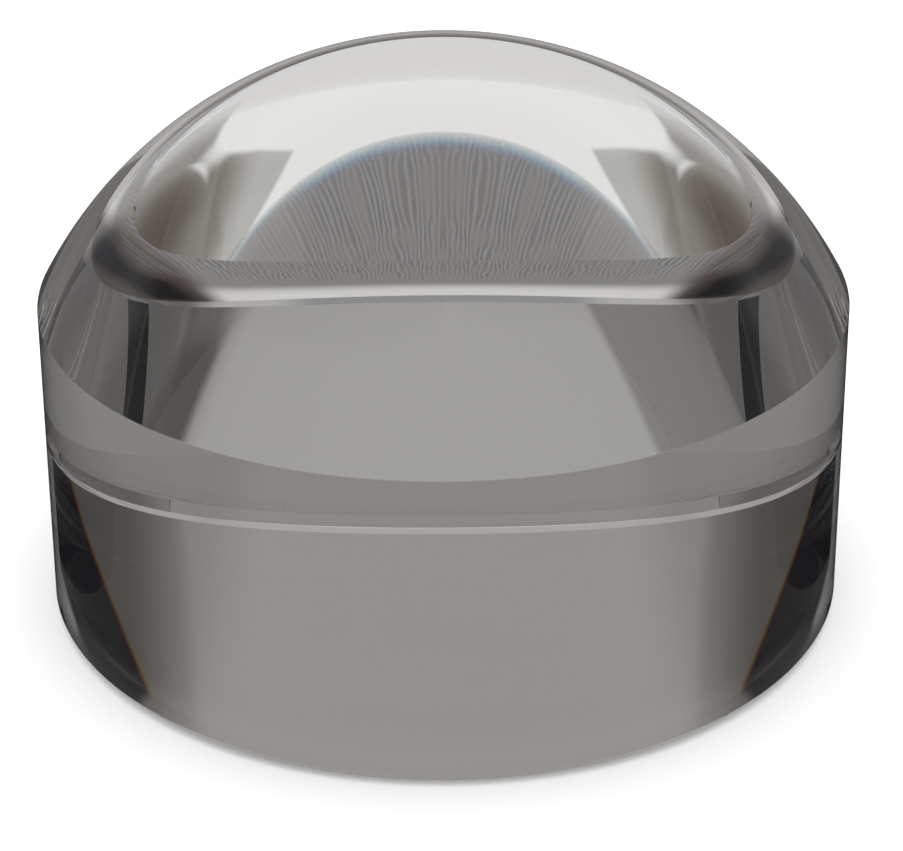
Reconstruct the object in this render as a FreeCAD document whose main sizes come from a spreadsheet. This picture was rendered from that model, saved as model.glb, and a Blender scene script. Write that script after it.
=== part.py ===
"""Dome magnifier for low vision, as a parametric FreeCAD document, in millimetres.

The object is one solid block of clear acrylic: a straight round wall that carries a spherical reading dome,
on a flat polished base that lies on the page. It has no holder, ring, foot or joint, so the document holds
one body. The block is turned from a rod: a half profile revolved about the optical axis, then the base edge
is bevelled, and the sharp edge of the shoulder, where the dome meets the wall, is broken.

Frame: +Z is the optical axis, up from the page. The origin is the centre of the base.
"""

import FreeCAD, Part

import math
import os

import Sketcher

PARTS_FOLDER = "parts"

# Driving dimensions, in millimetres.
SIZES = {
    "body_diameter": 65.0,  # across the straight wall
    "wall_height": 26.2,  # base to shoulder
    "dome_height": 19.5,  # shoulder to crown
    "base_bevel": 0.9,  # each leg of the 45 degree bevel round the base
    "shoulder_radius": 0.2,  # edge break between the wall and the dome
}

# The Sketcher's numbers for the points of a line or an arc, for its own origin and for its upright axis.
START = 1
END = 2
CENTRE = 3
SKETCH_ORIGIN = (-1, 1)
UPRIGHT_AXIS = -2

# Two heights in millimetres that differ by less than this are the same height.
HEIGHT_TOLERANCE = 1e-4


def make_sheet(doc):
    """Makes the spreadsheet that holds the driving dimensions, one row each, under their own names."""
    sheet = doc.addObject("Spreadsheet::Sheet", "Sizes")
    for row, (name, millimetres) in enumerate(SIZES.items(), start=1):
        sheet.set(f"A{row}", name)
        sheet.set(f"B{row}", str(millimetres))
        sheet.setAlias(f"B{row}", name)
    doc.recompute()


def origin_plane(body, role):
    """Finds one of a body's own origin planes by its role."""
    return next(feature for feature in body.Origin.OriginFeatures if feature.Role == role)


def draw_outline(sketch):
    """Draws the closed half outline near its final size, and returns the numbers of its four edges."""
    radius = SIZES["body_diameter"] / 2
    shoulder = SIZES["wall_height"]
    crown = shoulder + SIZES["dome_height"]
    dome_radius = (radius**2 + SIZES["dome_height"] ** 2) / (2 * SIZES["dome_height"])
    shoulder_angle = math.acos(radius / dome_radius)

    base_centre = FreeCAD.Vector(0, 0, 0)
    base_rim = FreeCAD.Vector(radius, 0, 0)
    shoulder_rim = FreeCAD.Vector(radius, shoulder, 0)
    crown_point = FreeCAD.Vector(0, crown, 0)
    dome_centre = FreeCAD.Vector(0, crown - dome_radius, 0)
    dome_circle = Part.Circle(dome_centre, FreeCAD.Vector(0, 0, 1), dome_radius)

    base = sketch.addGeometry(Part.LineSegment(base_centre, base_rim), False)
    wall = sketch.addGeometry(Part.LineSegment(base_rim, shoulder_rim), False)
    dome = sketch.addGeometry(Part.ArcOfCircle(dome_circle, shoulder_angle, math.pi / 2), False)
    axis = sketch.addGeometry(Part.LineSegment(crown_point, base_centre), False)
    return base, wall, dome, axis


def bind(sketch, constraint, name, expression):
    """Adds a dimension to a sketch and lets the spreadsheet drive it."""
    index = sketch.addConstraint(constraint)
    sketch.renameConstraint(index, name)
    sketch.setExpression(f"Constraints.{name}", expression)


def half_profile(body):
    """The lens's half section in the XZ plane: base, wall, dome arc and optical axis."""
    sketch = body.newObject("Sketcher::SketchObject", "HalfProfile")
    sketch.AttachmentSupport = [(origin_plane(body, "XZ_Plane"), "")]
    sketch.MapMode = "FlatFace"
    base, wall, dome, axis = draw_outline(sketch)

    rule = Sketcher.Constraint
    sketch.addConstraint(rule("Coincident", base, START, *SKETCH_ORIGIN))
    sketch.addConstraint(rule("Coincident", base, END, wall, START))
    sketch.addConstraint(rule("Coincident", wall, END, dome, START))
    sketch.addConstraint(rule("Coincident", dome, END, axis, START))
    sketch.addConstraint(rule("Coincident", axis, END, base, START))
    sketch.addConstraint(rule("Horizontal", base))
    sketch.addConstraint(rule("Vertical", wall))
    sketch.addConstraint(rule("Vertical", axis))
    sketch.addConstraint(rule("PointOnObject", dome, CENTRE, UPRIGHT_AXIS))

    radius = SIZES["body_diameter"] / 2
    shoulder = SIZES["wall_height"]
    crown = shoulder + SIZES["dome_height"]
    bind(
        sketch,
        rule("DistanceX", base, START, base, END, radius),
        "wall_radius",
        "Sizes.body_diameter / 2",
    )
    bind(
        sketch,
        rule("DistanceY", wall, START, wall, END, shoulder),
        "shoulder_above_base",
        "Sizes.wall_height",
    )
    bind(
        sketch,
        rule("DistanceY", axis, END, axis, START, crown),
        "crown_above_base",
        "Sizes.wall_height + Sizes.dome_height",
    )
    return sketch


def round_edge_at(feature, height):
    """Names the one level edge of a turned feature that lies at the given height."""
    names = []
    for number, edge in enumerate(feature.Shape.Edges, start=1):
        lowest = abs(edge.BoundBox.ZMin - height)
        highest = abs(edge.BoundBox.ZMax - height)
        if max(lowest, highest) < HEIGHT_TOLERANCE:
            names.append(f"Edge{number}")
    if len(names) != 1:
        raise RuntimeError(f"{feature.Label}: {len(names)} round edges at height {height}, not one")
    return names


def make_dome_lens(doc):
    """The whole magnifier: turned blank, bevelled base edge, broken shoulder edge."""
    body = doc.addObject("PartDesign::Body", "DomeLens")
    body.Label = "dome_lens"
    sketch = half_profile(body)

    blank = body.newObject("PartDesign::Revolution", "TurnedBlank")
    blank.Profile = (sketch, [""])
    blank.ReferenceAxis = (sketch, ["V_Axis"])
    blank.Angle = 360
    doc.recompute()

    bevel = body.newObject("PartDesign::Chamfer", "BaseBevel")
    bevel.Base = (blank, round_edge_at(blank, 0))
    bevel.setExpression("Size", "Sizes.base_bevel")
    doc.recompute()

    shoulder = body.newObject("PartDesign::Fillet", "ShoulderBreak")
    shoulder.Base = (bevel, round_edge_at(bevel, SIZES["wall_height"]))
    shoulder.setExpression("Radius", "Sizes.shoulder_radius")
    doc.recompute()

    body.Tip = shoulder
    body.Placement = FreeCAD.Placement()
    return body


def check(doc, sub_parts):
    """Stops before anything is written if the document or a sub-part isn't sound."""
    for item in doc.Objects:
        if "Invalid" in item.State or "Error" in item.State:
            raise RuntimeError(f"{item.Label}: {item.State}")
        if item.isDerivedFrom("Sketcher::SketchObject") and not item.FullyConstrained:
            raise RuntimeError(f"{item.Label}: the sketch isn't fully constrained")
    for part in sub_parts:
        if part.Shape.isNull() or not part.Shape.isValid() or len(part.Shape.Solids) != 1:
            raise RuntimeError(f"{part.Label}: its shape isn't one valid solid")


def check_volume(lens):
    """Compares the lens with the volume of its cylinder and spherical cap, less its bevel's ring."""
    radius = SIZES["body_diameter"] / 2
    height = SIZES["dome_height"]
    bevel = SIZES["base_bevel"]
    cylinder = math.pi * radius**2 * SIZES["wall_height"]
    cap = math.pi * height * (3 * radius**2 + height**2) / 6
    ring = math.pi * bevel**2 * (radius - bevel / 3)
    expected = cylinder + cap - ring
    if abs(lens.Shape.Volume / expected - 1) > 1e-3:
        raise RuntimeError(f"{lens.Label}: {lens.Shape.Volume:.1f} mm3, not {expected:.1f} mm3")


def write(sub_parts):
    """Writes each sub-part to its own STEP file, named after its label."""
    os.makedirs(PARTS_FOLDER, exist_ok=True)
    for part in sub_parts:
        part.Shape.exportStep(os.path.join(PARTS_FOLDER, f"{part.Label}.step"))
        box = part.Shape.optimalBoundingBox()
        print(
            f"{part.Label}: {box.XLength:.2f} x {box.YLength:.2f} x {box.ZLength:.2f} mm,"
            f" {part.Shape.Volume:.0f} mm3"
        )


def main():
    """Builds the document, checks it and writes its sub-parts."""
    doc = FreeCAD.newDocument("DomeMagnifier")
    make_sheet(doc)
    lens = make_dome_lens(doc)
    doc.recompute()
    check(doc, [lens])
    check_volume(lens)
    write([lens])


main()
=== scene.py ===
import math
from collections import namedtuple

import bpy
import numpy as np
from mathutils import Matrix, Vector


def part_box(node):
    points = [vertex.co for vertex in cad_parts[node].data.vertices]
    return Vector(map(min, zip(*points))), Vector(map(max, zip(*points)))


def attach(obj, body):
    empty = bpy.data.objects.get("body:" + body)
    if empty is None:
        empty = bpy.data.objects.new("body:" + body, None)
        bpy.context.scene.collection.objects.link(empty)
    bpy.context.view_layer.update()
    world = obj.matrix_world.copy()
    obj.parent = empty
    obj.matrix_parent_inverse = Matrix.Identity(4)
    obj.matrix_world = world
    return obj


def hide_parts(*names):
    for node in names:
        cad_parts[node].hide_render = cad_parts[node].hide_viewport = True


bl_info = {
    "name": "Low vision magnifier",
    "version": (1, 0, 0),
    "blender": (4, 5, 0),
    "location": "3D Viewport > Sidebar > Magnifier",
    "description": "A solid acrylic dome magnifier on a pale table, turned from a named profile",
    "category": "Object",
}

LENS_NODE = "dome_lens"
BODY = "root"

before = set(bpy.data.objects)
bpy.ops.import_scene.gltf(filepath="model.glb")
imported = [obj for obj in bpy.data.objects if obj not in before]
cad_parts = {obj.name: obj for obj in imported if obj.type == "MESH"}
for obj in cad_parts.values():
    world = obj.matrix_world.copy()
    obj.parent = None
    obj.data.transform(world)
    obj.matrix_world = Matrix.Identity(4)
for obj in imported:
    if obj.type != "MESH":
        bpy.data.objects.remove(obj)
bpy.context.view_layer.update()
LENS_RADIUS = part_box(LENS_NODE)[1].x
WALL_HEIGHT = 0.0262
DOME_HEIGHT = 0.0195
BASE_BEVEL = 0.0009
SHOULDER_RADIUS = 0.0002
SEGMENTS = 512
DOME_ROWS = 72


# ---------------------------------------------------------------- studio seen through and on the block

# The tables below are not a measured room. Many corners and ranges were found by tracing lines of sight
# through the block from chosen points of the picture, with a scratch ray tracer, and were then rounded or
# moved. The tones were set after the photo's brightness at such points. They suit the front view only.

# A panel is a convex shape on the sky around the block: corners are (azimuth, elevation) in degrees, azimuth
# counted from the far side, 180 being the camera's side. soft is how wide each edge's blur is in degrees,
# and fringe how far its red and blue parts stand apart. side says where it hangs: both is mirrored left to
# right. A later panel lies over the ones before it, and its name is only a label.
Panel = namedtuple("Panel", "name tone corners soft fringe side")

# A patch is a part of a ring on the table: radii in block radii, directions in degrees from the far side. A
# later patch lies over the ones before it, and its name is only a label.
# The patches are painted light and shade on a glowing copy of the table that only the block shows:
# edge_shadow is the block's painted shadow at the far side of its foot, and TABLE_MIRRORED is a painted
# reflection.
Patch = namedtuple("Patch", "name tone near far start end soft turn_soft")

SEEN_THROUGH_BASE = (0.20, 0.19, 0.18)
SEEN_THROUGH = [
    Panel("dim_upper_room", (0.14, 0.13, 0.12), [(-90, 38), (95, 38), (95, 80), (-90, 80)], 4, 0, "both"),
    Panel("back_wall_upper", (0.37, 0.365, 0.35), [(-90, 38), (44, 38), (40, 62), (-90, 62)],
          [4, 14, 4, 4], 0, "both"),
    Panel("side_dim", (0.085, 0.08, 0.075), [(30, 22), (66, 22), (66, 38), (30, 38)], 4, 0, "both"),
    Panel("low_far", (0.095, 0.09, 0.085), [(28, -8), (88, -8), (88, 12), (28, 12)], [4, 4, 6, 9], 0, "both"),
    Panel("back_wall_lower", (0.285, 0.275, 0.265), [(-90, 26), (29, 26), (37, 40), (-90, 40)],
          [4, 22, 6, 4], 0, "both"),
    Panel("right_corner", (0.07, 0.067, 0.06), [(43, 38), (95, 38), (95, 54), (41, 54)], 4, 0, "right"),
    Panel("left_corner", (0.22, 0.215, 0.20), [(33, 40), (80, 40), (80, 62), (21, 62)],
          [4, 4, 4, 2], 0, "left"),
    Panel("overhead_light", (0.75, 0.75, 0.75),
          [(-90, 55.9), (10, 56.0), (30, 56.8), (60, 57.5), (60, 90), (-90, 90)],
          [0.9, 0.9, 0.9, 2, 4, 4], [0.25, 0.25, 0.25, 0, 0, 0], "both"),
    Panel("side_glow", (0.30, 0.30, 0.31), [(66, 22), (86, 22), (86, 36), (66, 36)], 5, 0, "both"),
    Panel("side_flag", (0.13, 0.125, 0.12), [(88, 0), (140, 0), (140, 50), (88, 50)], 4, 0, "both"),
    Panel("wedge_shade", (0.055, 0.048, 0.042), [(38, 32.1), (53, 31.5), (84, 29.0), (84, 38), (38, 38)],
          [0.5, 0.5, 1, 2, 4], 0, "both"),
    Panel("wedge_flag", (0.012, 0.012, 0.014),
          [(39.4, 32.1), (49.4, 30.2), (62, 28.4), (78, 26.0), (78, 29.8), (53, 32.0), (46, 32.4)],
          [0.25, 0.25, 0.25, 1, 0.3, 0.3, 0.3], [-0.08, -0.08, -0.08, 0, 0, 0, 0], "both"),
    Panel("window", (0.80, 0.80, 0.79), [(147, 24.8), (210, 24.8), (210, 60), (147, 60)],
          [0.6, 1, 1, 1], 0, "both"),
    Panel("below_arc", (0.27, 0.27, 0.275),
          [(153, 24), (157, 27.0), (158, 27.7), (161.4, 29.2), (166, 30.7), (171, 31.75), (176, 32.25),
           (180, 32.4), (190, 32.4), (190, 24)],
          [0.9] * 8 + [1, 1], [0.14] * 8 + [0, 0], "both"),
    Panel("below_arc_glow", (0.45, 0.445, 0.43), [(153, 24), (158, 27.7), (163, 30), (166, 24)],
          [0.6, 0.6, 5, 1], 0, "both"),
    Panel("curtain", (0.47, 0.465, 0.44),
          [(150.5, 24.5), (154.3, 29.15), (155.7, 30.45), (157.8, 31.4), (160.25, 31.85), (163.4, 31.9),
           (153.2, 24.5)],
          0.3, 0, "both"),
    Panel("curtain_fold", (0.22, 0.205, 0.185),
          [(151.3, 24.0), (152.6, 27.55), (154.3, 29.15), (155.7, 30.45), (157.8, 31.4), (158.9, 31.6)],
          [0.3, 0.3, 0.3, 0.3, 0.3, 2.5], 0, "both"),
    Panel("curtain_shade", (0.22, 0.205, 0.185),
          [(140, 24), (140, 34), (155.3, 34), (155.3, 28.0), (151.3, 24)],
          [0.5, 0.5, 0.7, 2.5, 0.5], 0, "both"),
    Panel("curtain_dark", (0.08, 0.06, 0.045),
          [(140, 24), (140, 34), (154.8, 34), (154.8, 30.2), (148.6, 24)],
          [0.5, 0.5, 0.7, 1.5, 0.5], 0, "both"),
    Panel("low_front", (0.10, 0.095, 0.09), [(140, -5), (210, -5), (210, 24.8), (140, 24.8)], 1, 0, "both"),
]

MIRRORED_BASE = (0.05, 0.048, 0.045)
MIRRORED = [
    Panel("far_haze", (0.22, 0.22, 0.24), [(-90, -20), (60, -20), (60, 56), (-90, 56)],
          [10, 20, 20, 10], 0, "both"),
    Panel("far_window", (0.75, 0.75, 0.75), [(-90, -20), (38, -20), (36, 44), (-90, 44)],
          [8, 8, 26, 8], 0, "both"),
    Panel("side_window", (0.42, 0.42, 0.42), [(55, -20), (80, -20), (72, 24), (55, 24)], 10, 0, "both"),
    Panel("side_spot", (0.0, 0.0, 0.0), [(39, 28), (52, 28), (52, 46), (39, 46)], 7, 0, "both"),
    Panel("camera_side", (0.40, 0.40, 0.40), [(96.5, -20), (230, -20), (230, 86), (96.5, 43)],
          [8, 4, 8, 1], 0, "left"),
    Panel("camera_side_right", (0.40, 0.40, 0.40), [(117, -20), (230, -20), (230, 86), (115.5, 56)],
          [8, 4, 8, 1], 0, "right"),
]

TABLE_THROUGH_BASE = (0.06, 0.057, 0.055)
TABLE_THROUGH = [
    Patch("far_strip", (0.24, 0.23, 0.22), 0.9, 30.0, -40, 26, 0.4, 12),
    Patch("black_flag", (0.0, 0.0, 0.0), 1.0, 3.5, 30, 66, 0.1, 6),
    Patch("side_strip", (0.12, 0.115, 0.11), 1.0, 4.0, 62, 140, 0.3, 10),
    Patch("near_strip", (0.28, 0.27, 0.25), 0.9, 3.0, 165, 220, 0.3, 10),
    Patch("near_table", (0.15, 0.145, 0.14), 3.0, 7.5, 130, 220, 3.0, 20),
    Patch("edge_shadow", (0.23, 0.222, 0.215), 0.985, 1.10, -40, 40, 0.03, 20),
    Patch("under_block", (0.46, 0.455, 0.44), -0.5, 0.993, -40, 220, 0.02, 8),
    Patch("under_far_edge", (0.62, 0.61, 0.60), 0.7, 0.993, -40, 17, 0.024, 3),
    Patch("under_side", (0.37, 0.36, 0.35), 0.72, 0.985, 70, 220, 0.03, 30),
    Patch("side_ring", (0.070, 0.056, 0.05), 0.93, 1.08, 15.6, 70, 0.03, 1.8),
    Patch("side_spot", (0.010, 0.010, 0.011), 0.974, 1.004, 16.8, 19.3, 0.012, 1.4),
]

TABLE_MIRRORED_BASE = (0.22, 0.21, 0.20)
TABLE_MIRRORED = [
    Patch("side_dark", (0.0, 0.0, 0.0), 0.7, 3.6, 30, 230, 0.3, 20),
    Patch("front_light", (0.68, 0.66, 0.63), 0.9, 8.0, 135, 230, 0.5, 16),
]

# A card is a bent upright strip near the block, one on each side: turn from the far side in degrees,
# distance and heights in block radii. Cards are seen only through the block. They are not things seen in
# the photo: each one stops some lines of sight, so that the front view matches.
Card = namedtuple("Card", "name tone start end distance low high")
# The cards are painted shade: sheets that glow in a dark tone, near black for bar and side_skirt and a dim
# grey for front_skirt, and darken what the block shows along their lines of sight.
SHADE_CARDS = [
    Card("bar", (0.006, 0.006, 0.008), 111.9, 115.4, 1.3, 0.9, 1.37),
    Card("side_skirt", (0.006, 0.006, 0.008), 88.0, 106.0, 1.012, 0.45, 1.02),
    Card("front_skirt", (0.10, 0.095, 0.09), 106.0, 180.0, 1.012, 0.45, 0.815),
]

# ---------------------------------------------------------------- node trees

# numbers of the sockets used in the Mix and Map Range nodes, which have several of the same name
VECTOR_MASK, VECTOR_MASKS, VECTOR_BELOW, VECTOR_ABOVE, VECTOR_RESULT = 0, 1, 4, 5, 1
COLOUR_FIRST, COLOUR_SECOND, COLOUR_RESULT = 6, 7, 2
VECTOR_FROM_LOW, VECTOR_FROM_HIGH = 7, 8


class Graph:
    """A node tree, with short calls for the sums that materials, world and shapes are made of."""

    def __init__(self, tree):
        self.tree = tree

    def feed(self, socket, value):
        """Links a socket, or sets its own value."""
        if isinstance(value, bpy.types.NodeSocket):
            self.tree.links.new(value, socket)
        elif value is not None:
            socket.default_value = value

    def add(self, kind, *values, **settings):
        """A new node, with its settings and its first inputs."""
        node = self.tree.nodes.new(kind)
        for name, value in settings.items():
            setattr(node, name, value)
        for socket, value in zip(node.inputs, values):
            self.feed(socket, value)
        return node

    def math(self, operation, *values):
        return self.add("ShaderNodeMath", *values, operation=operation).outputs[0]

    def vector(self, operation, *values):
        return self.add("ShaderNodeVectorMath", *values, operation=operation).outputs[0]

    def join(self, *values):
        return self.add("ShaderNodeCombineXYZ", *values).outputs[0]

    def split(self, value):
        return self.add("ShaderNodeSeparateXYZ", value).outputs

    def step(self, value, low, high):
        """A smooth rise from 0 at low to 1 at high."""
        node = self.add("ShaderNodeMapRange", interpolation_type="SMOOTHSTEP")
        self.feed(node.inputs["Value"], value)
        self.feed(node.inputs["From Min"], low)
        self.feed(node.inputs["From Max"], high)
        return node.outputs["Result"]

    def vector_step(self, value, low, high):
        """The same rise for each part of a vector."""
        node = self.add("ShaderNodeMapRange", data_type="FLOAT_VECTOR", interpolation_type="SMOOTHSTEP")
        self.feed(node.inputs["Vector"], value)
        self.feed(node.inputs[VECTOR_FROM_LOW], (low,) * 3)
        self.feed(node.inputs[VECTOR_FROM_HIGH], (high,) * 3)
        return node.outputs["Vector"]

    def rise(self, value, start, soft):
        """A smooth rise with its middle at start."""
        return self.step(value, start - soft / 2, start + soft / 2)

    def fall(self, value, end, soft):
        """A smooth fall with its middle at end."""
        return self.math("SUBTRACT", 1.0, self.rise(value, end, soft))

    def noise(self, vector, scale, detail=2.0, roughness=0.5):
        node = self.add("ShaderNodeTexNoise")
        self.feed(node.inputs["Vector"], vector)
        node.inputs["Scale"].default_value = scale
        node.inputs["Detail"].default_value = detail
        node.inputs["Roughness"].default_value = roughness
        return node.outputs["Fac"]

    def over(self, below, tone, mask, split=False):
        """tone laid over what is below, by one mask, or by one each for red, green and blue when split."""
        mode = "NON_UNIFORM" if split else "UNIFORM"
        node = self.add("ShaderNodeMix", data_type="VECTOR", factor_mode=mode)
        self.feed(node.inputs[VECTOR_MASKS if split else VECTOR_MASK], mask)
        self.feed(node.inputs[VECTOR_BELOW], below)
        self.feed(node.inputs[VECTOR_ABOVE], tone)
        return node.outputs[VECTOR_RESULT]

    def tint(self, mask, first, second):
        """A base colour that goes from first to second."""
        node = self.add("ShaderNodeMix", data_type="RGBA")
        self.feed(node.inputs["Factor"], mask)
        node.inputs[COLOUR_FIRST].default_value = (*first, 1.0)
        node.inputs[COLOUR_SECOND].default_value = (*second, 1.0)
        return node.outputs[COLOUR_RESULT]


def per_edge(value, count):
    """One value for each edge of a panel."""
    return list(value) if isinstance(value, (list, tuple)) else [value] * count


def panel_mask(graph, panel, across, up):
    """How much of a panel covers the direction (across, up) degrees, for red, green and blue."""
    count = len(panel.corners)
    softs, fringes = per_edge(panel.soft, count), per_edge(panel.fringe, count)
    middle = [sum(corner[k] for corner in panel.corners) / count for k in (0, 1)]
    # each edge's normal towards the inside, and its shift from the origin
    insides = []
    for i, (u, v) in enumerate(panel.corners):
        next_u, next_v = panel.corners[(i + 1) % count]
        normal_u, normal_v = v - next_v, next_u - u
        size = math.hypot(normal_u, normal_v)
        if normal_u * (middle[0] - u) + normal_v * (middle[1] - v) < 0:
            size = -size
        insides.append((normal_u / size, normal_v / size, -(normal_u * u + normal_v * v) / size))

    def inside(i):
        """How many degrees inside edge i the direction is."""
        normal_u, normal_v, shift = insides[i]
        return graph.math("MULTIPLY_ADD", up, normal_v, graph.math("MULTIPLY_ADD", across, normal_u, shift))

    mask = None
    for i in [i for i in range(count) if not fringes[i]]:
        edge = graph.step(inside(i), -softs[i] / 2, softs[i] / 2)
        mask = edge if mask is None else graph.math("MULTIPLY", mask, edge)
    split = any(fringes)
    if split:
        mask = (1.0, 1.0, 1.0) if mask is None else graph.join(mask, mask, mask)
    for i in [i for i in range(count) if fringes[i]]:
        middle_edge = inside(i)
        spread = graph.join(graph.math("ADD", middle_edge, fringes[i]), middle_edge,
                            graph.math("SUBTRACT", middle_edge, fringes[i]))
        mask = graph.vector("MULTIPLY", mask, graph.vector_step(spread, -softs[i] / 2, softs[i] / 2))
    return mask, split


def sky(graph, base, panels, azimuth, elevation):
    """The colour of a sky of panels in a direction given in degrees."""
    across = {
        "both": graph.math("ABSOLUTE", azimuth),
        "left": graph.math("MULTIPLY", azimuth, -1.0),
        "right": azimuth,
    }
    colour = base
    for panel in panels:
        mask, split = panel_mask(graph, panel, across[panel.side], elevation)
        colour = graph.over(colour, panel.tone, mask, split)
    return colour


def table(graph, base, patches, radius, turn):
    """The colour of a table of patches at a radius in block radii and a turn in degrees."""
    colour = base
    for patch in patches:
        ring = graph.math(
            "MULTIPLY",
            graph.rise(radius, patch.near, patch.soft),
            graph.fall(radius, patch.far, patch.soft),
        )
        sector = graph.math(
            "MULTIPLY",
            graph.rise(turn, patch.start, patch.turn_soft),
            graph.fall(turn, patch.end, patch.turn_soft),
        )
        colour = graph.over(colour, patch.tone, graph.math("MULTIPLY", ring, sector))
    return colour


# ---------------------------------------------------------------- settings a user would change


class MAGNIFIER_PG_lens(bpy.types.PropertyGroup):
    """Sizes of the turned block"""

    diameter: bpy.props.FloatProperty(
        name="Diameter", description="Across the straight wall", default=2 * LENS_RADIUS,
        min=0.02, max=0.2, precision=4, unit="LENGTH")
    wall_height: bpy.props.FloatProperty(
        name="Wall height", description="From the table to where the dome starts", default=WALL_HEIGHT,
        min=0.0, max=0.2, precision=4, unit="LENGTH")
    dome_height: bpy.props.FloatProperty(
        name="Dome height", description="From the top of the wall to the crown", default=DOME_HEIGHT,
        min=0.001, max=0.1, precision=4, unit="LENGTH")
    base_bevel: bpy.props.FloatProperty(
        name="Base bevel", description="Leg of the 45 degree bevel round the base", default=BASE_BEVEL,
        min=0.0001, max=0.005, precision=5, unit="LENGTH")
    shoulder_radius: bpy.props.FloatProperty(
        name="Shoulder radius", description="Rounding where the wall meets the dome",
        default=SHOULDER_RADIUS,
        min=0.00005, max=0.003, precision=5, unit="LENGTH")
    segments: bpy.props.IntProperty(
        name="Segments", description="Facets round the axis", default=SEGMENTS, min=32, max=720)
    dome_rows: bpy.props.IntProperty(
        name="Dome rows", description="Rings of facets from the shoulder to the crown",
        default=DOME_ROWS, min=8, max=120)


class MAGNIFIER_PG_finish(bpy.types.PropertyGroup):
    """Look of the acrylic"""

    clear: bpy.props.FloatVectorProperty(
        name="Clear tint", description="Tint of the clearest acrylic", subtype="COLOR",
        default=(0.985, 0.985, 0.982), min=0.0, max=1.0)
    clouded: bpy.props.FloatVectorProperty(
        name="Clouded tint", description="Tint where handling has dulled it", subtype="COLOR",
        default=(0.955, 0.955, 0.95), min=0.0, max=1.0)
    dullness: bpy.props.FloatProperty(
        name="Dullness", description="Roughness where handling has dulled the polish", default=0.02,
        min=0.0, max=1.0)
    line_height: bpy.props.FloatProperty(
        name="Line height", description="Height of the fine turning lines", default=2e-9,
        min=0.0, max=0.0001, precision=9, unit="LENGTH")


class MAGNIFIER_PG_studio(bpy.types.PropertyGroup):
    """Table, light and camera"""

    table_tone: bpy.props.FloatVectorProperty(
        name="Table tone", description="Colour of the pale table", subtype="COLOR",
        default=(0.97, 0.97, 0.97), min=0.0, max=1.0)
    room_light: bpy.props.FloatProperty(
        name="Room light", description="Strength of the even white light on the table",
        default=1.5, min=0.0, max=5.0)
    ripple_pitch: bpy.props.FloatProperty(
        name="Ripple pitch", description="Spacing of the ripples of light at the foot of the block",
        default=0.00018, min=0.00005, max=0.005, precision=5, unit="LENGTH")
    camera_distance: bpy.props.FloatProperty(
        name="Camera distance", description="From the camera to the middle of the block", default=0.27033,
        min=0.1, max=5.0, precision=4, unit="LENGTH")
    camera_elevation: bpy.props.FloatProperty(
        name="Camera elevation", description="How far the camera looks down", default=0.4634062,
        min=0.0, max=1.55, subtype="ANGLE")
    focal_length: bpy.props.FloatProperty(
        name="Focal length", description="Lens of the camera, in millimetres", default=132.42,
        min=10.0, max=500.0)


# ---------------------------------------------------------------- the block

ACRYLIC_INDEX = 1.491
BASE_RINGS = 3
BEVEL_ROWS = 2
WALL_ROWS = 4
SHOULDER_ROWS = 6
POLE_MERGE = 1e-7


def new_group(name, inputs):
    """A Geometry Nodes tree with named inputs and one geometry output."""
    tree = bpy.data.node_groups.new(name, "GeometryNodeTree")
    for socket_name, kind, default in inputs:
        socket = tree.interface.new_socket(socket_name, in_out="INPUT", socket_type=kind)
        if default is not None:
            socket.default_value = default
    tree.interface.new_socket("Geometry", in_out="OUTPUT", socket_type="NodeSocketGeometry")
    return tree


def turned_band(graph, start, end, rows, segments, band, centre=None, bulge=None):
    """One band of the turned shape: straight from start to end, or round a centre between two angles.
    start and end are (radius, height) when straight, and angles in radians from the axis when round."""
    grid = graph.add("GeometryNodeMeshGrid")
    graph.feed(grid.inputs["Size X"], 1.0)
    graph.feed(grid.inputs["Size Y"], 1.0)
    graph.feed(grid.inputs["Vertices X"], graph.math("ADD", segments, 1.0))
    graph.feed(grid.inputs["Vertices Y"], graph.math("ADD", rows, 1.0))
    place = graph.split(graph.add("GeometryNodeInputPosition").outputs[0])
    turn = graph.math("MULTIPLY", graph.math("ADD", place[0], 0.5), 2 * math.pi)
    along = graph.math("ADD", place[1], 0.5)
    if centre is None:
        radius = graph.math("MULTIPLY_ADD", graph.math("SUBTRACT", end[0], start[0]), along, start[0])
        height = graph.math("MULTIPLY_ADD", graph.math("SUBTRACT", end[1], start[1]), along, start[1])
    else:
        angle = graph.math("MULTIPLY_ADD", graph.math("SUBTRACT", end, start), along, start)
        radius = graph.math("MULTIPLY_ADD", graph.math("SINE", angle), bulge, centre[0])
        height = graph.math("MULTIPLY_ADD", graph.math("COSINE", angle), bulge, centre[1])
    spot = graph.join(
        graph.math("MULTIPLY", graph.math("COSINE", turn), radius),
        graph.math("MULTIPLY", graph.math("SINE", turn), radius),
        height,
    )
    placed = graph.add("GeometryNodeSetPosition")
    graph.feed(placed.inputs["Geometry"], grid.outputs["Mesh"])
    graph.feed(placed.inputs["Position"], spot)
    named = graph.add("GeometryNodeStoreNamedAttribute", data_type="INT", domain="FACE")
    graph.feed(named.inputs["Geometry"], placed.outputs["Geometry"])
    named.inputs["Name"].default_value = "band"
    graph.feed(named.inputs["Value"], band)
    return named.outputs["Geometry"]


BAND_BASE, BAND_BEVEL, BAND_WALL, BAND_SHOULDER, BAND_DOME = range(5)


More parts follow.
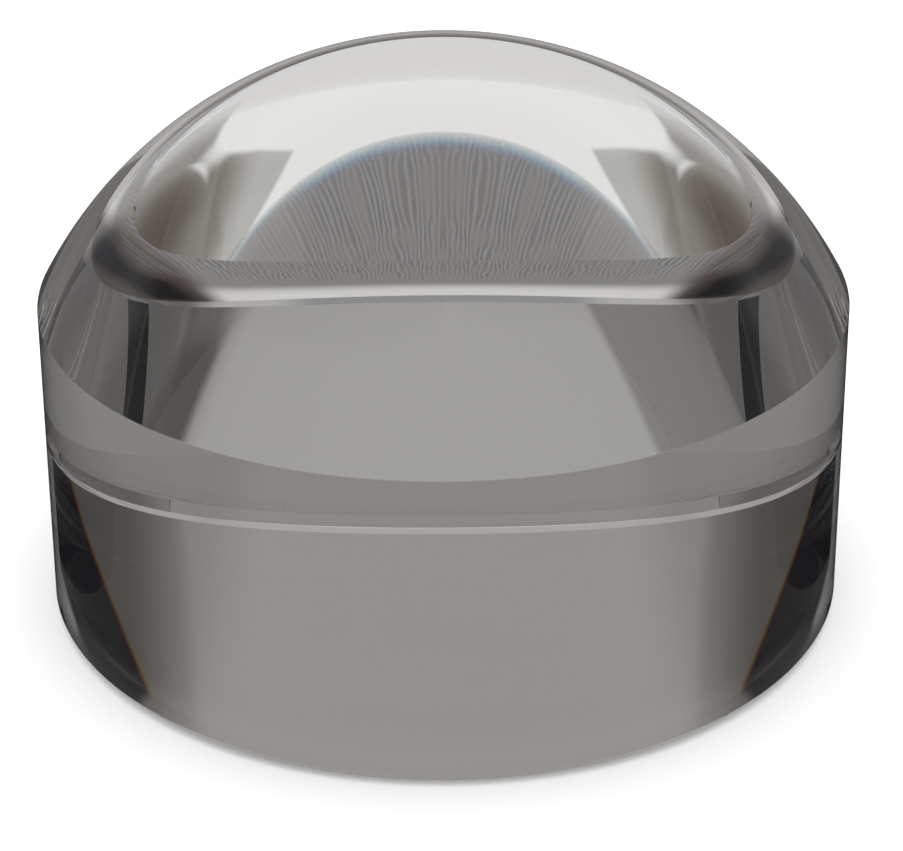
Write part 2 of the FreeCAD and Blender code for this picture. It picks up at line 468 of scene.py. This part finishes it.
def lens_tree(material):
    """The block as a turned shape: base, bevel, wall, shoulder and dome about the upright axis."""
    tree = new_group(
        "Turned block",
        [
            ("Radius", "NodeSocketFloat", LENS_RADIUS),
            ("Wall height", "NodeSocketFloat", WALL_HEIGHT),
            ("Dome height", "NodeSocketFloat", DOME_HEIGHT),
            ("Base bevel", "NodeSocketFloat", BASE_BEVEL),
            ("Shoulder radius", "NodeSocketFloat", SHOULDER_RADIUS),
            ("Segments", "NodeSocketInt", SEGMENTS),
            ("Dome rows", "NodeSocketInt", DOME_ROWS),
            ("Material", "NodeSocketMaterial", None),
        ],
    )
    graph = Graph(tree)
    given = graph.add("NodeGroupInput").outputs
    radius, wall, dome = given["Radius"], given["Wall height"], given["Dome height"]
    bevel, fillet, segments = given["Base bevel"], given["Shoulder radius"], given["Segments"]
    # the dome is part of a sphere through the top of the wall and the crown
    squares = graph.math("MULTIPLY_ADD", radius, radius, graph.math("MULTIPLY", dome, dome))
    ball = graph.math("DIVIDE", squares, graph.math("MULTIPLY", dome, 2.0))
    ball_height = graph.math("SUBTRACT", graph.math("ADD", wall, dome), ball)
    # the fillet touches the wall and the inside of the sphere
    fillet_radius = graph.math("SUBTRACT", radius, fillet)
    reach = graph.math("SUBTRACT", ball, fillet)
    rise = graph.math(
        "SQRT",
        graph.math("SUBTRACT", graph.math("MULTIPLY", reach, reach),
                   graph.math("MULTIPLY", fillet_radius, fillet_radius)),
    )
    fillet_height = graph.math("ADD", ball_height, rise)
    meeting = graph.math("ARCTAN2", fillet_radius, rise)
    foot = graph.math("SUBTRACT", radius, bevel)
    bands = [
        turned_band(graph, (0.0, 0.0), (foot, 0.0), BASE_RINGS, segments, BAND_BASE),
        turned_band(graph, (foot, 0.0), (radius, bevel), BEVEL_ROWS, segments, BAND_BEVEL),
        turned_band(graph, (radius, bevel), (radius, fillet_height), WALL_ROWS, segments, BAND_WALL),
        turned_band(graph, math.pi / 2, meeting, SHOULDER_ROWS, segments, BAND_SHOULDER,
                    centre=(fillet_radius, fillet_height), bulge=fillet),
        turned_band(graph, meeting, 0.0, given["Dome rows"], segments, BAND_DOME,
                    centre=(0.0, ball_height), bulge=ball),
    ]
    joined = graph.add("GeometryNodeJoinGeometry")
    for band in bands:
        graph.feed(joined.inputs[0], band)
    merged = graph.add("GeometryNodeMergeByDistance")
    graph.feed(merged.inputs["Geometry"], joined.outputs[0])
    merged.inputs["Distance"].default_value = POLE_MERGE
    smooth = graph.add("GeometryNodeSetShadeSmooth")
    graph.feed(smooth.inputs["Geometry"], merged.outputs["Geometry"])
    real = graph.add("GeometryNodeRealizeInstances")
    graph.feed(real.inputs["Geometry"], smooth.outputs["Geometry"])
    painted = graph.add("GeometryNodeSetMaterial")
    graph.feed(painted.inputs["Geometry"], real.outputs["Geometry"])
    graph.feed(painted.inputs["Material"], given["Material"])
    out = graph.add("NodeGroupOutput")
    graph.feed(out.inputs["Geometry"], painted.outputs["Geometry"])
    return tree


def mesh_from_tree(name, tree, values):
    """Runs a Geometry Nodes tree on an empty mesh and gives the result as a plain mesh object."""
    seed = bpy.data.objects.new(name + "_seed", bpy.data.meshes.new(name + "_seed"))
    bpy.context.scene.collection.objects.link(seed)
    modifier = seed.modifiers.new("Turned shape", "NODES")
    modifier.node_group = tree
    for socket in tree.interface.items_tree:
        if socket.in_out == "INPUT" and socket.name in values:
            modifier[socket.identifier] = values[socket.name]
    bpy.context.view_layer.update()
    result = seed.evaluated_get(bpy.context.evaluated_depsgraph_get())
    mesh = bpy.data.meshes.new_from_object(result)
    bpy.data.objects.remove(seed)
    mesh.name = name
    piece = bpy.data.objects.new(name, mesh)
    bpy.context.scene.collection.objects.link(piece)
    return piece


def outward(mesh, middle):
    """Turns the faces that look towards the middle of a convex block."""
    centres = np.zeros(len(mesh.polygons) * 3)
    normals = np.zeros(len(mesh.polygons) * 3)
    mesh.polygons.foreach_get("center", centres)
    mesh.polygons.foreach_get("normal", normals)
    away = ((centres.reshape(-1, 3) - middle) * normals.reshape(-1, 3)).sum(1)
    if (away < 0).sum() > len(away) / 2:
        mesh.flip_normals()
        away = -away
    if (away < 0).any():
        raise RuntimeError("some faces of the block look inwards")


def polish_normals(mesh, sizes):
    """Gives each face corner the exact normal of the turned surface that its band belongs to."""
    radius, wall = sizes.diameter / 2, sizes.wall_height
    ball = (radius ** 2 + sizes.dome_height ** 2) / (2 * sizes.dome_height)
    ball_height = wall + sizes.dome_height - ball
    fillet = sizes.shoulder_radius
    fillet_height = ball_height + math.sqrt((ball - fillet) ** 2 - (radius - fillet) ** 2)
    points = np.zeros(len(mesh.vertices) * 3)
    mesh.vertices.foreach_get("co", points)
    corner_point = np.zeros(len(mesh.loops), np.int32)
    mesh.loops.foreach_get("vertex_index", corner_point)
    counts = np.zeros(len(mesh.polygons), np.int32)
    mesh.polygons.foreach_get("loop_total", counts)
    face_band = np.zeros(len(mesh.polygons), np.int32)
    mesh.attributes["band"].data.foreach_get("value", face_band)
    band = np.repeat(face_band, counts)
    spot = points.reshape(-1, 3)[corner_point]
    across = np.hypot(spot[:, 0], spot[:, 1])
    flat = spot[:, :2] / np.maximum(across, 1e-12)[:, None]
    out = np.zeros(len(spot))
    up = np.zeros(len(spot))
    up[band == BAND_BASE] = -1
    slope = math.sqrt(0.5)
    out[band == BAND_BEVEL], up[band == BAND_BEVEL] = slope, -slope
    out[band == BAND_WALL] = 1
    rounded = band == BAND_SHOULDER
    out[rounded] = across[rounded] - (radius - fillet)
    up[rounded] = spot[rounded, 2] - fillet_height
    domed = band == BAND_DOME
    out[domed] = across[domed]
    up[domed] = spot[domed, 2] - ball_height
    size = np.hypot(out, up)
    normals = np.column_stack([flat * (out / size)[:, None], up / size])
    mesh.normals_split_custom_set(normals.tolist())


# ---------------------------------------------------------------- materials


def new_material(name):
    """An empty node material and its graph."""
    material = bpy.data.materials.new(name)
    material.use_nodes = True
    material.node_tree.nodes.clear()
    return material, Graph(material.node_tree)


def finish_material(graph, shader):
    """Leads a shader to the material's output."""
    out = graph.add("ShaderNodeOutputMaterial")
    graph.feed(out.inputs["Surface"], shader)


ARC_STRETCH = 0.02
LINE_SCALE = 16000.0
HAZE_SCALE = 120.0
SPECK_SCALE = 9000.0
HAZE_LOW, HAZE_HIGH = 0.5, 0.75
SPECK_LOW, SPECK_HIGH = 0.76, 0.80
HAZE_SHARE = 0.5
TABLE_GRAIN_SCALE = 60.0
TABLE_GRAIN_SHADE = 0.995


def clear_acrylic(finish, sizes):
    """Polished clear acrylic, with faint specks and haze from handling, and turning lines kept very low."""
    material, graph = new_material("clear_acrylic")
    place = graph.add("ShaderNodeTexCoord").outputs["Object"]
    x, y, z = graph.split(place)
    radius = sizes.diameter / 2
    turn = graph.math("ARCTAN2", y, x)
    arc = graph.math("MULTIPLY", turn, radius)
    # the pattern is stretched along the arc, so that its lines run round the block
    lines = graph.noise(graph.join(graph.math("MULTIPLY", arc, ARC_STRETCH), 0.0, z), LINE_SCALE)
    height = graph.math("MULTIPLY", lines, finish.line_height)
    bump = graph.add("ShaderNodeBump")
    bump.inputs["Strength"].default_value = 1.0
    bump.inputs["Distance"].default_value = 1.0
    graph.feed(bump.inputs["Height"], height)
    haze = graph.noise(place, HAZE_SCALE, 4.0, 0.6)
    fine = graph.noise(place, SPECK_SCALE, 2.0, 0.6)
    dull = graph.math("MULTIPLY", graph.step(haze, HAZE_LOW, HAZE_HIGH), HAZE_SHARE)
    speck = graph.step(fine, SPECK_LOW, SPECK_HIGH)
    dull = graph.math("MAXIMUM", dull, speck)
    tint = graph.tint(dull, finish.clear, finish.clouded)
    shader = graph.add("ShaderNodeBsdfPrincipled")
    graph.feed(shader.inputs["Base Color"], tint)
    graph.feed(shader.inputs["Roughness"], graph.math("MULTIPLY", dull, finish.dullness))
    shader.inputs["IOR"].default_value = ACRYLIC_INDEX
    shader.inputs["Transmission Weight"].default_value = 1.0
    graph.feed(shader.inputs["Normal"], bump.outputs["Normal"])
    finish_material(graph, shader.outputs["BSDF"])
    return material


def pale_table(studio):
    """The plain pale table that the camera sees. Its grain is very faint."""
    material, graph = new_material("pale_table")
    place = graph.add("ShaderNodeTexCoord").outputs["Object"]
    grain = graph.noise(place, TABLE_GRAIN_SCALE, 4.0)
    shade = [tone * TABLE_GRAIN_SHADE for tone in studio.table_tone]
    tint = graph.tint(grain, shade, studio.table_tone)
    shader = graph.add("ShaderNodeBsdfPrincipled")
    graph.feed(shader.inputs["Base Color"], tint)
    shader.inputs["Roughness"].default_value = 1.0
    shader.inputs["Specular IOR Level"].default_value = 0.0
    finish_material(graph, shader.outputs["BSDF"])
    return material


RIPPLE_DARK = (0.125, 0.12, 0.12)
RIPPLE_LIGHT = (0.34, 0.34, 0.35)
RIPPLE_DARK_SHARE = 0.6
RIPPLE_LIGHT_SHARE = 0.35
RIPPLE_NEAR, RIPPLE_NEAR_SOFT = 1.012, 0.012
RIPPLE_FAR, RIPPLE_FAR_SOFT = 1.052, 0.02
WANDER_PITCHES = 3
WANDER_SCALE = 1400.0
STRENGTH_SCALE = 1500.0


def ripples(graph, colour, across, turn, radius, pitch):
    """Fine ripples of light on the ring of table just outside the block."""
    arc = graph.math("MULTIPLY", turn, radius * math.pi / 180)
    wander = graph.noise(graph.join(arc, 0.0, graph.math("MULTIPLY", across, radius)), WANDER_SCALE)
    swing = graph.math("MULTIPLY_ADD", wander, pitch * WANDER_PITCHES, arc)
    wave = graph.math("SINE", graph.math("MULTIPLY", swing, 2 * math.pi / pitch))
    ring = graph.math(
        "MULTIPLY",
        graph.rise(across, RIPPLE_NEAR, RIPPLE_NEAR_SOFT),
        graph.fall(across, RIPPLE_FAR, RIPPLE_FAR_SOFT),
    )
    strength = graph.noise(graph.join(arc, 1.0, graph.math("MULTIPLY", across, radius)), STRENGTH_SCALE)
    ring = graph.math("MULTIPLY", ring, graph.step(strength, 0.25, 0.7))
    dark = graph.math("MULTIPLY", ring, graph.step(wave, 0.9, -0.9))
    light = graph.math("MULTIPLY", ring, graph.step(wave, -0.2, 1.0))
    colour = graph.over(colour, RIPPLE_DARK, graph.math("MULTIPLY", dark, RIPPLE_DARK_SHARE))
    return graph.over(colour, RIPPLE_LIGHT, graph.math("MULTIPLY", light, RIPPLE_LIGHT_SHARE))


def table_in_glass_with_painted_light(radius, pitch):
    """What the table looks like from inside the block and in its outer reflections. It glows, and its light
    and shade are painted: the block's shadow round its foot, and dark and bright patches.
    """
    material, graph = new_material("table_in_glass_with_painted_light")
    x, y, z = graph.split(graph.add("ShaderNodeTexCoord").outputs["Object"])
    squares = graph.math("MULTIPLY_ADD", x, x, graph.math("MULTIPLY", y, y))
    across = graph.math("DIVIDE", graph.math("SQRT", squares), radius)
    turn = graph.math("MULTIPLY", graph.math("ARCTAN2", graph.math("ABSOLUTE", x), y), 180 / math.pi)
    through = table(graph, TABLE_THROUGH_BASE, TABLE_THROUGH, across, turn)
    through = ripples(graph, through, across, turn, radius, pitch)
    mirrored = table(graph, TABLE_MIRRORED_BASE, TABLE_MIRRORED, across, turn)
    path = graph.add("ShaderNodeLightPath").outputs
    colour = graph.over(mirrored, through, path["Is Transmission Ray"])
    glow = graph.add("ShaderNodeEmission", colour, 1.0)
    finish_material(graph, glow.outputs[0])
    return material


def painted_shade_glow(card):
    """An even glow in a card's dark tone, which paints shade."""
    material, graph = new_material("card_" + card.name)
    glow = graph.add("ShaderNodeEmission", (*card.tone, 1.0), 1.0)
    finish_material(graph, glow.outputs[0])
    return material


# ---------------------------------------------------------------- operators


def new_piece(name, points, faces):
    """A mesh object in the scene."""
    mesh = bpy.data.meshes.new(name)
    mesh.from_pydata(points, [], faces)
    piece = bpy.data.objects.new(name, mesh)
    bpy.context.scene.collection.objects.link(piece)
    return piece


def flat_disc(name, radius, height, segments=96):
    """A flat round sheet lying level at a height."""
    angles = [2 * math.pi * i / segments for i in range(segments)]
    points = [(radius * math.cos(a), radius * math.sin(a), height) for a in angles]
    return new_piece(name, points, [list(range(segments))])


def upright_strip(card, side, radius, steps=24):
    """A bent upright card round the block, on one side of it."""
    points = []
    for i in range(steps + 1):
        turn = math.radians(card.start + (card.end - card.start) * i / steps)
        x, y = side * math.sin(turn) * card.distance * radius, math.cos(turn) * card.distance * radius
        points += [(x, y, card.low * radius), (x, y, card.high * radius)]
    faces = [(2 * i, 2 * i + 2, 2 * i + 3, 2 * i + 1) for i in range(steps)]
    return new_piece("card_" + card.name + ("_left" if side < 0 else "_right"), points, faces)


def hide_from_camera(piece):
    """Keeps a piece from being seen directly, and from shading or lighting the table."""
    piece.visible_camera = False
    piece.visible_diffuse = False
    piece.visible_shadow = False


class MAGNIFIER_OT_lens(bpy.types.Operator):
    """Turn the clear block and give it its polished acrylic"""

    bl_idname = "magnifier.lens"
    bl_label = "Make the lens"

    def execute(self, context):
        sizes, finish = context.scene.magnifier_lens, context.scene.magnifier_finish
        material = clear_acrylic(finish, sizes)
        lens = mesh_from_tree(
            "lens",
            lens_tree(material),
            {
                "Radius": sizes.diameter / 2,
                "Wall height": sizes.wall_height,
                "Dome height": sizes.dome_height,
                "Base bevel": sizes.base_bevel,
                "Shoulder radius": sizes.shoulder_radius,
                "Segments": sizes.segments,
                "Dome rows": sizes.dome_rows,
                "Material": material,
            },
        )
        outward(lens.data, np.array([0.0, 0.0, sizes.wall_height / 2]))
        polish_normals(lens.data, sizes)
        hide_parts(LENS_NODE)
        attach(lens, BODY)
        return {"FINISHED"}


LIGHT_BOUNCES = 32
SENSOR_WIDTH = 36.0
CLIP_START = 0.01
# The camera looks this many block radii above half the wall's height, and is then turned by three small
# angles. The angles, and the camera's distance, elevation and focal length, are the result of a scratch fit
# of the camera to the block's outline and inner edges in the photo.
AIM_RISE = 0.2
AIM_YAW = -0.0021927
AIM_PITCH = -0.0192371
AIM_ROLL = 0.0057988
TABLE_DROP = 0.00005
TABLE_RADIUS = 4.0
GLASS_TABLE_DROP = 0.00002


class MAGNIFIER_OT_stage(bpy.types.Operator):
    """Lay the pale table, light the room and set the camera"""

    bl_idname = "magnifier.stage"
    bl_label = "Make the stage"

    def execute(self, context):
        scene = context.scene
        studio, sizes = scene.magnifier_studio, scene.magnifier_lens
        floor = flat_disc("floor", TABLE_RADIUS, -TABLE_DROP)
        floor.data.materials.append(pale_table(studio))
        floor.visible_transmission = False
        floor.visible_glossy = False
        # a glowing copy of the table with painted light and shade, seen only through and in the block
        inside = flat_disc("painted_light_floor_in_glass", TABLE_RADIUS, -GLASS_TABLE_DROP)
        inside.data.materials.append(table_in_glass_with_painted_light(sizes.diameter / 2, studio.ripple_pitch))
        hide_from_camera(inside)
        # dark glowing cards: painted shade that only the block shows
        for card in SHADE_CARDS:
            paint = painted_shade_glow(card)
            for side in (-1, 1):
                strip = upright_strip(card, side, sizes.diameter / 2)
                strip.data.materials.append(paint)
                hide_from_camera(strip)
                strip.visible_glossy = False
        self.room(scene, studio)
        self.camera(scene, studio, sizes)
        scene.view_settings.view_transform = "Standard"
        scene.cycles.max_bounces = LIGHT_BOUNCES
        scene.cycles.transmission_bounces = LIGHT_BOUNCES
        scene.cycles.glossy_bounces = LIGHT_BOUNCES
        return {"FINISHED"}

    def room(self, scene, studio):
        """White light for the table, and the studio's panels for what the block shows."""
        world = bpy.data.worlds.new("studio")
        world.use_nodes = True
        world.node_tree.nodes.clear()
        graph = Graph(world.node_tree)
        x, y, z = graph.split(graph.add("ShaderNodeTexCoord").outputs["Generated"])
        degrees = 180 / math.pi
        azimuth = graph.math("MULTIPLY", graph.math("ARCTAN2", x, y), degrees)
        elevation = graph.math("MULTIPLY", graph.math("ARCSINE", z), degrees)
        through = sky(graph, SEEN_THROUGH_BASE, SEEN_THROUGH, azimuth, elevation)
        mirrored = sky(graph, MIRRORED_BASE, MIRRORED, azimuth, elevation)
        path = graph.add("ShaderNodeLightPath").outputs
        light = (studio.room_light,) * 3
        colour = graph.over(light, mirrored, path["Is Glossy Ray"])
        colour = graph.over(colour, through, path["Is Transmission Ray"])
        background = graph.add("ShaderNodeBackground", colour, 1.0)
        out = graph.add("ShaderNodeOutputWorld")
        graph.feed(out.inputs["Surface"], background.outputs[0])
        world.cycles.sampling_method = "NONE"
        scene.world = world

    def camera(self, scene, studio, sizes):
        """The camera, in front of the block and looking down at it."""
        data = bpy.data.cameras.new("camera")
        data.lens = studio.focal_length
        data.sensor_width = SENSOR_WIDTH
        data.clip_start = CLIP_START
        camera = bpy.data.objects.new("camera", data)
        target = Vector((0.0, 0.0, sizes.wall_height / 2 + AIM_RISE * sizes.diameter / 2))
        tilt = studio.camera_elevation
        away = Vector((0.0, -math.cos(tilt), math.sin(tilt)))
        camera.location = target + away * studio.camera_distance
        ahead, right = -away, Vector((1.0, 0.0, 0.0))
        up = right.cross(ahead)
        # yaw and pitch turn about the axes as they are here, and roll about the line of sight after them
        for axis, angle in ((up.copy(), AIM_YAW), (right.copy(), AIM_PITCH), (ahead, AIM_ROLL)):
            pivot = axis.copy()
            for vector in (ahead, right, up):
                vector.rotate(Matrix.Rotation(angle, 3, pivot))
        camera.rotation_euler = Matrix((right, up, -ahead)).transposed().to_euler()
        scene.collection.objects.link(camera)
        scene.camera = camera


class MAGNIFIER_PT_panel(bpy.types.Panel):
    """Lists the sizes, the finish and the steps that build the magnifier"""

    bl_idname = "MAGNIFIER_PT_panel"
    bl_label = "Magnifier"
    bl_space_type = "VIEW_3D"
    bl_region_type = "UI"
    bl_category = "Magnifier"

    def draw(self, context):
        layout = self.layout
        for group_name in GROUPS:
            group = getattr(context.scene, group_name)
            box = layout.box()
            for name in group.__annotations__:
                box.prop(group, name)
        for step in STEPS:
            layout.operator(step.bl_idname)


STEPS = (MAGNIFIER_OT_lens, MAGNIFIER_OT_stage)
GROUPS = {
    "magnifier_lens": MAGNIFIER_PG_lens,
    "magnifier_finish": MAGNIFIER_PG_finish,
    "magnifier_studio": MAGNIFIER_PG_studio,
}
CLASSES = (*GROUPS.values(), *STEPS, MAGNIFIER_PT_panel)


def register():
    """Adds the settings, the steps and the sidebar panel."""
    for cls in CLASSES:
        bpy.utils.register_class(cls)
    for name, group in GROUPS.items():
        setattr(bpy.types.Scene, name, bpy.props.PointerProperty(type=group))


def unregister():
    """Takes them away again."""
    for name in GROUPS:
        delattr(bpy.types.Scene, name)
    for cls in reversed(CLASSES):
        bpy.utils.unregister_class(cls)


def main():
    """Builds the block and its stage."""
    register()
    bpy.ops.magnifier.lens()
    bpy.ops.magnifier.stage()


if __name__ == "__main__":
    main()
